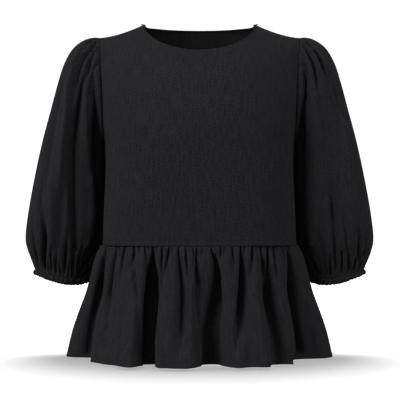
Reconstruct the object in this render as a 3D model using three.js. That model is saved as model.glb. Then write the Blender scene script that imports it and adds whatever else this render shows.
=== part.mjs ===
// Pull-on blouse with a gathered peplum and puffed three-quarter sleeves, filled out and hollow.
// Millimetres, +Z up, +X to the right seen from the front, the front faces -Y.
// The origin is the middle of the neck opening, level with the neck ends of the shoulder seams.
import * as THREE from "three";

// Driving sizes
const CLOTH = 1.6; // thickness of every wall
const SEAM_GAP = 0.3; // between neighbouring pieces
const NECK_HALF_WIDTH = 98.5;
const FRONT_NECK_DROP = 57;
const BACK_NECK_DROP = 4;
const SHOULDER_TIP_X = 180;
const SHOULDER_DROP = 24;
const SHOULDER_Y = 4; // the shoulder seam lies this far behind the middle
const UNDERARM_X = 170;
const UNDERARM_Z = -214;
const WAIST_Z = -396;
const HEM_Z = -592;
const ARM_HOLLOW = 3; // how far the armhole curves in between its ends

// Bodice sections, from the waist up to the underarm: half width, depth to the front and to the back
const BODICE = [
  { z: -396, half: 173.5, front: 112, back: 106 },
  { z: -345, half: 172, front: 113, back: 106 },
  { z: -300, half: 170, front: 115, back: 107 },
  { z: -255, half: 168.5, front: 117, back: 109 },
  { z: -214, half: 170, front: 118, back: 111 },
];
const SIDE_SQUARE = 2.35; // exponent of the bodice's rounded section
const CHEST_ARCH = 2.0; // exponent of the front's arch up to the shoulder
const BACK_ARCH = 2.4; // and of the back's
const UPPER_HALF_WIDTH = 191; // half width that the sections above the underarm widen to
const RIDGE_RISE = 21; // how far the shoulder line would rise across the neck
const NECK_SHARE = 0.42; // share of a panel's top edge that is neckline

// Sleeve sections from the armhole to the cuff seam, in the plane of the arm: the outer and the inner end,
// the half depth to front and back, how far the middle lies behind, and how much further the inner end is
// tucked back behind the body's side
const SLEEVE = [
  { at: 0, outX: 180, outZ: -24, inX: 170, inZ: -214, depth: 52, behind: 0, tuck: 0 },
  { at: 0.035, outX: 190, outZ: -23.5, inX: 170.8, inZ: -217, depth: 56, behind: 0, tuck: 5 },
  { at: 0.09, outX: 206.5, outZ: -29, inX: 170.8, inZ: -222, depth: 60, behind: 1, tuck: 14 },
  { at: 0.16, outX: 226, outZ: -44, inX: 171, inZ: -229, depth: 63, behind: 3, tuck: 22 },
  { at: 0.24, outX: 242, outZ: -71, inX: 170.5, inZ: -239, depth: 65, behind: 5, tuck: 30 },
  { at: 0.32, outX: 253, outZ: -103, inX: 169.5, inZ: -251, depth: 66, behind: 8, tuck: 36 },
  { at: 0.44, outX: 268, outZ: -157, inX: 168.5, inZ: -272, depth: 66, behind: 11, tuck: 40 },
  { at: 0.56, outX: 282.5, outZ: -210, inX: 168, inZ: -298, depth: 66, behind: 13, tuck: 42 },
  { at: 0.7, outX: 298, outZ: -280, inX: 169.5, inZ: -336, depth: 65, behind: 15, tuck: 42 },
  { at: 0.82, outX: 310, outZ: -347, inX: 172, inZ: -376, depth: 63, behind: 16, tuck: 40 },
  { at: 0.9, outX: 314, outZ: -388, inX: 176.5, inZ: -406, depth: 58, behind: 17, tuck: 36 },
  { at: 0.95, outX: 309, outZ: -413, inX: 184.5, inZ: -426, depth: 52, behind: 18, tuck: 31 },
  { at: 1, outX: 298, outZ: -441, inX: 195, inZ: -449, depth: 41, behind: 19, tuck: 24 },
];
const CUFF = [
  { at: 0, outX: 298.2, outZ: -441.4, inX: 194.8, inZ: -449.4, depth: 41.2, behind: 19, tuck: 24 },
  { at: 0.5, outX: 299.4, outZ: -446.2, inX: 196.6, inZ: -456.4, depth: 41.8, behind: 19, tuck: 24 },
  { at: 1, outX: 298.4, outZ: -451.2, inX: 199, inZ: -463.4, depth: 40.6, behind: 19, tuck: 24 },
];
const ARM_SQUARE = 3.0; // how square the sections of the sleeve and cuff are
const CUFF_GATHERS = 26;
const CUFF_RELIEF = 1.5; // height of the ruching on the cuff
const HEAD_GATHERS = 12; // over the sleeve head, front to back
const HEAD_SHARE = 11 / CUFF_GATHERS; // share of the sleeve's round that the head gathers take up
const HEAD_RELIEF = 2.4; // height of the gathers over the sleeve head
const HEAD_REACH = 0.3; // share of the sleeve's length that they run down
const WRIST_RELIEF = 3.4; // height of the gathers above the cuff
const WRIST_START = 0.72; // share of the sleeve's length where they start

// Soft folds down the sleeve: where round it (0 over the shoulder, 0.25 in front, 0.5 under the arm), how
// wide as a share of the round, how deep (negative is a hollow), and where along it they start and end
const SLEEVE_FOLDS = [
  { at: 0.06, drift: 0.05, wide: 0.03, deep: -7, from: 0.0, to: 0.42 },
  { at: 0.1, drift: 0.05, wide: 0.03, deep: 5, from: 0.02, to: 0.5 },
  { at: 0.145, drift: 0.06, wide: 0.03, deep: -9, from: 0.0, to: 0.75 },
  { at: 0.2, drift: 0.04, wide: 0.035, deep: 5, from: 0.04, to: 0.7 },
  { at: 0.26, drift: 0.05, wide: 0.035, deep: -7, from: 0.02, to: 0.6 },
  { at: 0.12, drift: -0.05, wide: 0.035, deep: -6, from: 0.55, to: 1.1 },
  { at: 0.31, drift: 0.0, wide: 0.04, deep: -5, from: 0.5, to: 1.1 },
  { at: 0.94, drift: -0.04, wide: 0.03, deep: -6, from: 0.0, to: 0.5 },
  { at: 0.86, drift: -0.05, wide: 0.035, deep: -8, from: 0.0, to: 0.7 },
  { at: 0.8, drift: -0.03, wide: 0.035, deep: 5, from: 0.05, to: 0.7 },
  { at: 0.74, drift: -0.04, wide: 0.035, deep: -7, from: 0.02, to: 0.65 },
  { at: 0.7, drift: 0.0, wide: 0.045, deep: -6, from: 0.5, to: 1.1 },
  { at: 0.88, drift: 0.03, wide: 0.04, deep: -5, from: 0.6, to: 1.1 },
];

// Peplum sections from the waist seam to the hem
const PEPLUM = [
  { at: 0, half: 172.4, front: 111, back: 105 },
  { at: 0.04, half: 174.5, front: 114, back: 108 },
  { at: 0.1, half: 180.5, front: 119, back: 112 },
  { at: 0.34, half: 196.5, front: 133, back: 126 },
  { at: 0.73, half: 223.5, front: 154, back: 146 },
  { at: 1, half: 236, front: 165, back: 157 },
];
const HALF_GATHERS = 34; // along the front waist seam, and as many behind
const GATHER_RELIEF = 2.6; // height of the gathers below the waist seam
const GATHER_REACH = 0.55; // share of the peplum's length that they run down

// Ridges and hollows of the peplum's large folds, in turn from one side seam to the other: their place at
// the waist and at the hem as a share of the half round, and how far the hem stands out or in there
const FRONT_FOLDS = [
  { waist: -1, hem: -1, out: 0 },
  { waist: -0.86, hem: -0.84, out: 5 },
  { waist: -0.7, hem: -0.665, out: -34 },
  { waist: -0.6, hem: -0.55, out: 6 },
  { waist: -0.44, hem: -0.42, out: 14 },
  { waist: -0.36, hem: -0.3, out: 27 },
  { waist: -0.28, hem: -0.235, out: -17 },
  { waist: -0.22, hem: -0.165, out: 21 },
  { waist: -0.08, hem: -0.06, out: 22 },
  { waist: 0.06, hem: 0.06, out: -24 },
  { waist: 0.17, hem: 0.17, out: 19 },
  { waist: 0.24, hem: 0.23, out: 14 },
  { waist: 0.32, hem: 0.29, out: 24 },
  { waist: 0.41, hem: 0.36, out: -2 },
  { waist: 0.53, hem: 0.46, out: 9 },
  { waist: 0.64, hem: 0.56, out: -30 },
  { waist: 0.84, hem: 0.81, out: 6 },
  { waist: 1, hem: 1, out: 0 },
];
const BACK_FOLDS = [
  { waist: -1, hem: -1, out: 0 },
  { waist: -0.82, hem: -0.8, out: 9 },
  { waist: -0.66, hem: -0.64, out: -20 },
  { waist: -0.5, hem: -0.48, out: 20 },
  { waist: -0.36, hem: -0.34, out: -14 },
  { waist: -0.2, hem: -0.21, out: 24 },
  { waist: -0.07, hem: -0.07, out: -22 },
  { waist: 0.1, hem: 0.09, out: 22 },
  { waist: 0.25, hem: 0.23, out: -16 },
  { waist: 0.4, hem: 0.39, out: 19 },
  { waist: 0.54, hem: 0.53, out: -22 },
  { waist: 0.7, hem: 0.69, out: 18 },
  { waist: 0.84, hem: 0.83, out: -8 },
  { waist: 1, hem: 1, out: 0 },
];

const FULL_TURN = 2 * Math.PI;
const mix = (a, b, share) => a + (b - a) * share;
const clamp = (value, low, high) => Math.min(Math.max(value, low), high);
const steps = (count, from = 0, to = 1) =>
  Array.from({ length: count + 1 }, (_, i) => mix(from, to, i / count));
const bell = (offset, width) => Math.exp(-((offset / width) ** 2));
const NUDGE = 1e-3; // a small step along a surface

// A column of a table at any place along it, on a smooth curve through the rows.
function read(table, key, place, column) {
  let i = 1;
  while (i < table.length - 1 && table[i][key] < place) i += 1;
  const [a, b] = [table[i - 1], table[i]];
  const before = table[i - 2] ?? a;
  const after = table[i + 1] ?? b;
  const span = b[key] - a[key];
  const slopeA = ((b[column] - before[column]) / (b[key] - before[key])) * span;
  const slopeB = ((after[column] - a[column]) / (after[key] - a[key])) * span;
  const t = clamp((place - a[key]) / span, 0, 1);
  return (
    a[column] * (1 + 2 * t) * (1 - t) ** 2 +
    slopeA * t * (1 - t) ** 2 +
    b[column] * t ** 2 * (3 - 2 * t) -
    slopeB * t ** 2 * (1 - t)
  );
}

// Adds the triangles between two rows of points, which may differ in number.
function stitch(first, second, faces) {
  let i = 0;
  let j = 0;
  while (i < first.length - 1 || j < second.length - 1) {
    const ahead = j === second.length - 1 || first[i + 1]?.at <= second[j + 1].at;
    if (i < first.length - 1 && ahead) {
      faces.push(first[i].index, first[i + 1].index, second[j].index);
      i += 1;
    } else {
      faces.push(first[i].index, second[j + 1].index, second[j].index);
      j += 1;
    }
  }
}

// The direction in which a surface runs at a point: along its row, or from row to row.
function runAlong(surface, at, row, ends = Infinity) {
  const [before, after] = [Math.max(at - NUDGE, -ends), Math.min(at + NUDGE, ends)];
  return surface(after, row).sub(surface(before, row));
}
function runAcross(surface, at, row, low, high) {
  const [before, after] = [Math.max(row - NUDGE, low), Math.min(row + NUDGE, high)];
  return surface(at, after).sub(surface(at, before));
}

// A closed cloth wall. surface(at, row) is a point of its smooth form, outward(at, row) the direction that
// its thickness is measured in, and relief(at, row) how far the gathers lift it there. rows lists each
// row's place and the places of its points along it.
function clothWall(name, material, rows, { surface, outward, relief, isRing }) {
  const positions = [];
  const pointAt = (point, at) => {
    positions.push(point.x, point.y, point.z);
    return { index: positions.length / 3 - 1, at };
  };
  const outer = [];
  const inner = [];
  for (const { row, places } of rows) {
    const outerRow = [];
    const innerRow = [];
    for (const at of places) {
      const lift = relief(at, row);
      const normal = outward(at, row);
      const point = surface(at, row);
      outerRow.push(pointAt(point.clone().addScaledVector(normal, lift), at));
      innerRow.push(pointAt(point.clone().addScaledVector(normal, lift - CLOTH), at));
    }
    if (isRing) {
      outerRow.push({ index: outerRow[0].index, at: outerRow[0].at + 1 });
      innerRow.push({ index: innerRow[0].index, at: innerRow[0].at + 1 });
    }
    outer.push(outerRow);
    inner.push(innerRow);
  }
  const faces = [];
  const last = rows.length - 1;
  for (let r = 0; r < last; r += 1) {
    stitch(outer[r], outer[r + 1], faces);
    stitch(inner[r + 1], inner[r], faces);
  }
  stitch(inner[0], outer[0], faces);
  stitch(outer[last], inner[last], faces);
  if (!isRing) {
    const edge = (side, pick) => side.map((row, r) => ({ index: pick(row).index, at: r }));
    const first = (row) => row[0];
    const final = (row) => row[row.length - 1];
    stitch(edge(outer, first), edge(inner, first), faces);
    stitch(edge(inner, final), edge(outer, final), faces);
  }
  return closedMesh(name, material, positions, faces);
}

// A mesh of these faces, all turned outwards.
function closedMesh(name, material, positions, faces) {
  const corner = (i) => new THREE.Vector3().fromArray(positions, 3 * faces[i]);
  let volume = 0;
  for (let i = 0; i < faces.length; i += 3) {
    volume += corner(i).dot(corner(i + 1).cross(corner(i + 2)));
  }
  const order = volume < 0 ? [0, 2, 1] : [0, 1, 2];
  const turned = faces.map((_, i) => faces[i - (i % 3) + order[i % 3]]);
  const geometry = new THREE.BufferGeometry();
  geometry.setAttribute("position", new THREE.Float32BufferAttribute(positions, 3));
  geometry.setIndex(turned);
  geometry.computeVertexNormals();
  const mesh = new THREE.Mesh(geometry, material);
  mesh.name = name;
  return mesh;
}

// The bodice

// Height of the shoulder line above x, carried on smoothly across the neck.
function ridgeZ(x) {
  const away = Math.abs(x);
  if (away < NECK_HALF_WIDTH) return RIDGE_RISE * (1 - (away / NECK_HALF_WIDTH) ** 2);
  const share = clamp((away - NECK_HALF_WIDTH) / (SHOULDER_TIP_X - NECK_HALF_WIDTH), 0, 1);
  return -SHOULDER_DROP * (1 - (1 - share) ** 1.6);
}

// Distance of the bodice from the plane of the shoulder seams, at x and z. side is -1 in front, 1 behind.
function torsoY(side, x, z) {
  const key = side < 0 ? "front" : "back";
  const section = Math.min(z, UNDERARM_Z);
  const depth = read(BODICE, "z", section, key);
  const rise = clamp((z - UNDERARM_Z) / (ridgeZ(x) - UNDERARM_Z), 0, 1);
  const widen = 1 - (1 - rise) ** 2;
  const half = mix(read(BODICE, "z", section, "half"), UPPER_HALF_WIDTH, widen);
  const arch = side < 0 ? CHEST_ARCH : BACK_ARCH;
  const across = Math.max(0, 1 - Math.min(1, Math.abs(x) / half) ** SIDE_SQUARE);
  const upward = Math.max(0, 1 - rise ** arch);
  return side * depth * across ** (1 / SIDE_SQUARE) * upward ** (1 / arch) + SHOULDER_Y * rise ** 2;
}

// Half distance between the armholes at height z.
function armholeX(z) {
  const rise = clamp((z - UNDERARM_Z) / (-SHOULDER_DROP - UNDERARM_Z), 0, 1);
  return mix(UNDERARM_X, SHOULDER_TIP_X, rise ** 1.2) - ARM_HOLLOW * Math.sin(Math.PI * rise);
}

// The armhole seam of the side +X: 0 is the shoulder tip, 0.25 the front, 0.5 the underarm.
function armhole(at) {
  const turn = FULL_TURN * at;
  const z = mix(UNDERARM_Z, -SHOULDER_DROP, (1 + Math.cos(turn)) / 2);
  const side = Math.sin(turn) > 0 ? -1 : 1;
  return new THREE.Vector3(armholeX(z), torsoY(side, armholeX(z), z), z);
}

// The top edge of a panel in the front view, from shoulder tip to shoulder tip.
function topEdge(side, at) {
  const away = Math.abs(at);
  if (away > NECK_SHARE) {
    const x = mix(NECK_HALF_WIDTH, SHOULDER_TIP_X, (away - NECK_SHARE) / (1 - NECK_SHARE));
    return { x: Math.sign(at) * x, z: ridgeZ(x) };
  }
  const turn = ((at / NECK_SHARE) * Math.PI) / 2;
  const drop = side < 0 ? FRONT_NECK_DROP : BACK_NECK_DROP;
  return { x: NECK_HALF_WIDTH * Math.sin(turn), z: -drop * Math.cos(turn) };
}

// A point of the front or back panel: at runs across it from -1 to 1, row up it from -1 at the waist over
// 0 at the underarm to 1 at the shoulder seams and the neckline.
function bodicePoint(side, at, row) {
  const away = Math.abs(at);
  const across = Math.sign(at) * Math.sin((Math.PI / 2) * away) ** (2 / SIDE_SQUARE);
  let z = mix(WAIST_Z + SEAM_GAP / 2, UNDERARM_Z, 1 + Math.min(row, 0));
  let x = read(BODICE, "z", z, "half") * across;
  if (row > 0) {
    const rise = (1 - Math.cos(Math.PI * row)) / 2;
    const top = topEdge(side, at);
    z = mix(UNDERARM_Z, top.z, rise);
    const straight = mix(UNDERARM_X, SHOULDER_TIP_X, rise);
    const bend = armholeX(mix(UNDERARM_Z, -SHOULDER_DROP, rise)) - straight;
    x = mix(x, top.x, rise) + Math.sign(at) * bend * away ** 4;
  }
  return new THREE.Vector3(x, torsoY(side, x, z) + (side * SEAM_GAP) / 2, z);
}

function bodicePanel(name, side, material) {
  const places = [
    ...steps(6, -1, -NECK_SHARE),
    ...steps(14, -NECK_SHARE, NECK_SHARE).slice(1, -1),
    ...steps(6, NECK_SHARE, 1),
  ];
  const nearTop = 0.955; // one more row where the panel curls over to the shoulder seam
  const rowPlaces = [...steps(4, -1, 0), ...steps(9, 0, 1).slice(1, -1), nearTop, 1];
  const rows = rowPlaces.map((row) => ({ row, places }));
  const surface = (at, row) => bodicePoint(side, at, row);
  const outward = (at, row) =>
    runAlong(surface, at, row, 1)
      .cross(runAcross(surface, at, row, -1, 1))
      .setLength(-side);
  return clothWall(name, material, rows, { surface, outward, relief: () => 0, isRing: false });
}

// The sleeves and cuffs

// A point round the sleeve or cuff on the side +X.
function armRing(table, at, row) {
  const turn = FULL_TURN * at;
  const value = (column) => read(table, "at", row, column);
  const outer = (1 + Math.cos(turn)) / 2;
  const forward = Math.sign(Math.sin(turn)) * Math.abs(Math.sin(turn)) ** (2 / ARM_SQUARE);
  return new THREE.Vector3(
    mix(value("inX"), value("outX"), outer),
    value("behind") + value("tuck") * (1 - outer) ** 3 - value("depth") * forward,
    mix(value("inZ"), value("outZ"), outer),
  );
}

// The sleeve's smooth form: its sections, led out of the armhole seam.
function sleevePoint(at, row) {
  const point = armRing(SLEEVE, at, row);
  const hold = Math.max(0, 1 - row / 0.22) ** 2;
  const seam = armhole(at).sub(armRing(SLEEVE, at, 0));
  point.addScaledVector(seam, hold);
  point.x += SEAM_GAP;
  return point;
}

// Signed distance round the ring from one place to another, at most half a turn.
const turnBetween = (a, b) => ((((a - b) % 1) + 1.5) % 1) - 0.5;

function sleeveRelief(at, row) {
  let lift = 0;
  for (const fold of SLEEVE_FOLDS) {
    const share = (row - fold.from) / (fold.to - fold.from);
    if (share > 0 && share < 1) {
      const centre = fold.at + fold.drift * share;
      const fade = Math.sin(Math.PI * share ** 0.6) * Math.min(1, (1.02 - row) / 0.1);
      lift += fold.deep * fade * bell(turnBetween(at, centre), fold.wide);
    }
  }
  const fromTop = turnBetween(at, 0) / HEAD_SHARE;
  if (Math.abs(fromTop) < 0.5) {
    const fade = Math.min(1, row / 0.02 + 0.3) * Math.max(0, 1 - row / HEAD_REACH);
    const height = HEAD_RELIEF * fade * Math.cos(Math.PI * fromTop);
    lift += height * Math.sin(FULL_TURN * HEAD_GATHERS * fromTop);
  }
  const gathered = clamp((row - WRIST_START) / (1 - WRIST_START), 0, 1);
  const uneven = 1 + 0.4 * Math.sin(FULL_TURN * 5 * at + 1);
  const pinch = gathered ** 1.5 * (1 - 0.55 * clamp((row - 0.96) / 0.04, 0, 1));
  return lift + WRIST_RELIEF * pinch * uneven * Math.cos(FULL_TURN * CUFF_GATHERS * at);
}

function cuffRelief(at) {
  const uneven = 1 + 0.3 * Math.sin(FULL_TURN * 7 * at);
  return CUFF_RELIEF * uneven * Math.cos(FULL_TURN * CUFF_GATHERS * at);
}

// The pieces of the side +X, mirrored for the other one. Their thickness lies in the plane of the ring.
function armPiece(name, mirror, material, rows, table, form, relief) {
  const mirrored = (vector) => vector.setX(mirror * vector.x);
  const surface = (at, row) => mirrored(form(at, row));
  const outward = (at, row) => {
    const axis = armRing(table, 0, row).sub(armRing(table, 0.5, row)).cross(new THREE.Vector3(0, 1, 0));
    return mirrored(runAlong(form, at, row).cross(axis).normalize());
  };
  return clothWall(name, material, rows, { surface, outward, relief, isRing: true });
}

function sleeve(name, mirror, material) {
  const headHalf = HEAD_SHARE / 2;
  const ring = (count) => steps(count, -headHalf, 1 - headHalf).slice(0, -1);
  const headPlaces = [
    ...steps(3 * HEAD_GATHERS, -headHalf, headHalf),
    ...steps(24, headHalf, 1 - headHalf).slice(1, -1),
  ];
  const rows = [
    ...[0, 0.035, 0.09, 0.16, 0.25].map((row) => ({ row, places: headPlaces })),
    ...[0.36, 0.48, 0.6, 0.71].map((row) => ({ row, places: ring(52) })),
    ...[0.81, 0.89, 0.95, 1].map((row) => ({ row, places: ring(3 * CUFF_GATHERS) })),
  ];
  return armPiece(name, mirror, material, rows, SLEEVE, sleevePoint, sleeveRelief);
}

function cuff(name, mirror, material) {
  const places = steps(3 * CUFF_GATHERS).slice(0, -1);
  const rows = steps(2).map((row) => ({ row, places }));
  const form = (at, row) => armRing(CUFF, at, row);
  return armPiece(name, mirror, material, rows, CUFF, form, cuffRelief);
}

// The peplum

const foldPlace = (fold, row) => mix(fold.waist, fold.hem, row);

// How far the large folds carry the cloth out at the hem, at one place along a row.
function foldOut(folds, at, row) {
  const place = (fold) => foldPlace(fold, row);
  let i = 1;
  while (i < folds.length - 1 && place(folds[i]) < at) i += 1;
  const share = clamp((at - place(folds[i - 1])) / (place(folds[i]) - place(folds[i - 1])), 0, 1);
  return mix(folds[i - 1].out, folds[i].out, (1 - Math.cos(Math.PI * share)) / 2);
}

function peplumPoint(side, folds, at, row) {
  const value = (column) => read(PEPLUM, "at", row, column);
  const [half, depth] = [value("half"), value(side < 0 ? "front" : "back")];
  const turn = (Math.PI / 2) * at;
  const base = new THREE.Vector2(half * Math.sin(turn), side * depth * Math.cos(turn));
  const away = new THREE.Vector2(Math.sin(turn) / half, (side * Math.cos(turn)) / depth).normalize();
  base.addScaledVector(away, foldOut(folds, at, row) * row ** 0.85);
  const z = mix(WAIST_Z - SEAM_GAP / 2, HEM_Z, row);
  return new THREE.Vector3(base.x, base.y + (side * SEAM_GAP) / 2, z);
}

function peplumRelief(at, row) {
  const edge = Math.min(1, (1 - Math.abs(at)) / 0.03);
  const uneven = 1 + 0.35 * Math.sin(9 * at + 2) + 0.25 * Math.sin(23 * at);
  const fade = Math.min(1, 0.35 + row / 0.03) * Math.max(0, 1 - row / GATHER_REACH) ** 1.5;
  return GATHER_RELIEF * edge * uneven * fade * Math.cos(Math.PI * HALF_GATHERS * (at + 1));
}

// Points along a row that follow the ridges and hollows of the large folds.
function foldPlaces(folds, row, perSlope) {
  const slopes = folds.slice(1).map((fold, i) =>
    steps(perSlope, foldPlace(folds[i], row), foldPlace(fold, row)).slice(1),
  );
  return [-1, ...slopes.flat()];
}

function peplumPanel(name, side, folds, material) {
  const perSlope = Math.round((2 * HALF_GATHERS) / (folds.length - 1));
  const rows = [
    ...[0, 0.035, 0.1, 0.2].map((row) => ({ row, places: steps(3 * HALF_GATHERS, -1, 1) })),
    ...[0.34, 0.52, 0.7, 0.86, 1].map((row) => ({ row, places: foldPlaces(folds, row, perSlope) })),
  ];
  const surface = (at, row) => peplumPoint(side, folds, at, row);
  const outward = (at, row) =>
    runAlong(surface, at, row, 1)
      .cross(new THREE.Vector3(0, 0, -side))
      .normalize();
  return clothWall(name, material, rows, { surface, outward, relief: peplumRelief, isRing: false });
}

const crepe = (color) => new THREE.MeshStandardMaterial({ color, roughness: 0.92, metalness: 0 });

const blouse = new THREE.Group();
blouse.add(
  bodicePanel("bodice_front", -1, crepe(0x262528)),
  bodicePanel("bodice_back", 1, crepe(0x232326)),
  sleeve("sleeve_left", -1, crepe(0x29282b)),
  sleeve("sleeve_right", 1, crepe(0x29282b)),
  cuff("cuff_left", -1, crepe(0x252427)),
  cuff("cuff_right", 1, crepe(0x252427)),
  peplumPanel("peplum_front", -1, FRONT_FOLDS, crepe(0x262528)),
  peplumPanel("peplum_back", 1, BACK_FOLDS, crepe(0x232326)),
);

export default blouse;
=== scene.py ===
"""A black crepe blouse with puffed sleeves and a gathered peplum, on the frame of its CAD part.

Lengths are millimetres in the part's own frame, and the finished meshes, the studio and the
lights are metres. Left and right are those of the picture.
"""

import bpy
import numpy as np
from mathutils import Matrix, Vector

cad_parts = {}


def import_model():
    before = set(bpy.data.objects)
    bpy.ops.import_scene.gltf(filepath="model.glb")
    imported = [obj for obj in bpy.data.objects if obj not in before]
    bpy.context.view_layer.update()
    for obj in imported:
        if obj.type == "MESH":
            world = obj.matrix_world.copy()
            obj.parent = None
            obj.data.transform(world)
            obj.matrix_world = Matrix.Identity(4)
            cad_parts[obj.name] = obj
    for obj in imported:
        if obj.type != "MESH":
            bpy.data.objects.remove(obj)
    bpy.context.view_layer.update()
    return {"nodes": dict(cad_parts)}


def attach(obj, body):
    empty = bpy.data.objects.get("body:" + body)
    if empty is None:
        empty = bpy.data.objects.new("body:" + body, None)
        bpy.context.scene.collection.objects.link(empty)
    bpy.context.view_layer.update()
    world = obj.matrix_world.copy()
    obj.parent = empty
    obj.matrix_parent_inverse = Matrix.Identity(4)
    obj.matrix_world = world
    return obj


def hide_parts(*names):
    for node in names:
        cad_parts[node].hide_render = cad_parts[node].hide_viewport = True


# The garment's own sizes
NECK_HALF_WIDTH = 98.5
FRONT_NECK_DROP = 57
BACK_NECK_DROP = 2
SHOULDER_TIP_X = 180
SHOULDER_DROP = 24
SHOULDER_Y = 4  # how far the shoulder seam lies behind the origin
UNDERARM_X = 170
UNDERARM_Z = -214
WAIST_Z = -396
HEM_Z = -592
ARM_HOLLOW = 3  # how far the armhole curves in toward the chest
SIDE_SQUARE = 2.35  # 2 is an ellipse, and more is squarer
ARM_SQUARE = 3.0
CHEST_ARCH = 2.0
BACK_ARCH = 2.4
UPPER_HALF_WIDTH = 191
RIDGE_RISE = 21  # the shoulder line, carried on over the neck
NECK_SHARE = 0.42  # how much of a panel's columns end at the neck
SEAM_SHARE = 0.22  # how much of the sleeve the armhole still shapes
SLEEVE_LENGTH = 430  # along the cloth
OVER_CUFF = 0.8  # how far the sleeve's end laps over the cuff
FRONT_HANG = 10  # how much lower the cuffs lie in front
HEAD_SHARE = 11 / 26  # share of the sleeve's round that its gathered head takes up
HALF_GAP = 0.05  # room left below the waist seam and beyond the armhole
SIDE_GAP = 0.02  # and on each side of the side seams

FRONT = -1  # the side of a panel, as the sign of Y
BACK = 1
NECK_BAND = {FRONT: 10, BACK: 4.5}  # how deep the neck edge is turned in


def table(columns, *rows):
    """A table as a dictionary of columns."""
    names = columns.split()
    return {name: np.array([row[i] for row in rows], float) for i, name in enumerate(names)}


BODICE = table(
    "z half front back",
    (-396, 173.5, 112, 106),
    (-345, 172, 113, 106),
    (-300, 170, 115, 107),
    (-255, 168.5, 117, 109),
    (-214, 170, 118, 111),
)
# Sleeve sections from the armhole to the cuff seam, in the plane of the arm
SLEEVE = table(
    "at outX outZ inX inZ depth behind tuck",
    (0, 180, -24, 170, -214, 52, 0, 0),
    (0.035, 190, -23.5, 170.8, -217, 56, 0, 5),
    (0.09, 206.5, -29, 170.8, -222, 60, 1, 14),
    (0.16, 226, -44, 171, -229, 63, 3, 22),
    (0.24, 242, -71, 170.5, -239, 65, 5, 30),
    (0.32, 253, -103, 169.5, -251, 66, 8, 36),
    (0.44, 268, -157, 168.5, -272, 66, 11, 40),
    (0.56, 282.5, -210, 168, -298, 66, 13, 42),
    (0.7, 298, -280, 169.5, -336, 65, 15, 42),
    (0.82, 310, -347, 172, -376, 63, 16, 40),
    (0.9, 314, -388, 176.5, -406, 58, 17, 36),
    (0.95, 309, -413, 184.5, -426, 52, 18, 31),
    (1, 298, -441, 195, -449, 41, 19, 24),
)
CUFF = table(
    "at outX outZ inX inZ depth behind tuck",
    (0, 298.2, -441.4, 194.8, -449.4, 41.2, 19, 24),
    (0.5, 299.4, -446.2, 196.6, -456.4, 41.8, 19, 24),
    (1, 298.4, -451.2, 199, -463.4, 40.6, 19, 24),
)
PEPLUM = table(
    "at half front back",
    (0, 172.4, 111, 105),
    (0.04, 174.5, 114, 108),
    (0.1, 180.5, 119, 112),
    (0.34, 196.5, 133, 126),
    (0.73, 223.5, 154, 146),
    (1, 236, 165, 157),
)
# Ridges and hollows of the peplum: where each lies at the waist and at the hem, from side seam to
# side seam, and how far the hem stands out there
FRONT_FOLDS = table(
    "waist hem out",
    (-1, -1, 0),
    (-0.86, -0.84, 5),
    (-0.7, -0.665, -34),
    (-0.6, -0.55, 6),
    (-0.44, -0.42, 14),
    (-0.36, -0.3, 27),
    (-0.28, -0.235, -17),
    (-0.22, -0.165, 21),
    (-0.08, -0.06, 22),
    (0.06, 0.06, -24),
    (0.17, 0.17, 19),
    (0.24, 0.23, 14),
    (0.32, 0.29, 24),
    (0.41, 0.36, -2),
    (0.53, 0.46, 9),
    (0.64, 0.56, -30),
    (0.84, 0.81, 6),
    (1, 1, 0),
)
BACK_FOLDS = table(
    "waist hem out",
    (-1, -1, 0),
    (-0.82, -0.8, 9),
    (-0.66, -0.64, -20),
    (-0.5, -0.48, 20),
    (-0.36, -0.34, -14),
    (-0.2, -0.21, 24),
    (-0.07, -0.07, -22),
    (0.1, 0.09, 22),
    (0.25, 0.23, -16),
    (0.4, 0.39, 19),
    (0.54, 0.53, -22),
    (0.7, 0.69, 18),
    (0.84, 0.83, -8),
    (1, 1, 0),
)

# The frame of the photograph, in which the folds below are placed
PIXEL = 1.8  # millimetres at the plane of the shoulders
MIDDLE_X = 199.5  # pixels
SHOULDER_PIXEL = 24.3  # pixels from the top to the origin's height
VIEW_DISTANCE = 2000
VIEW_HEIGHT = -316.3
HIDDEN = 1e6  # added to what faces away from the camera, so that no fold is placed on it

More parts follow.
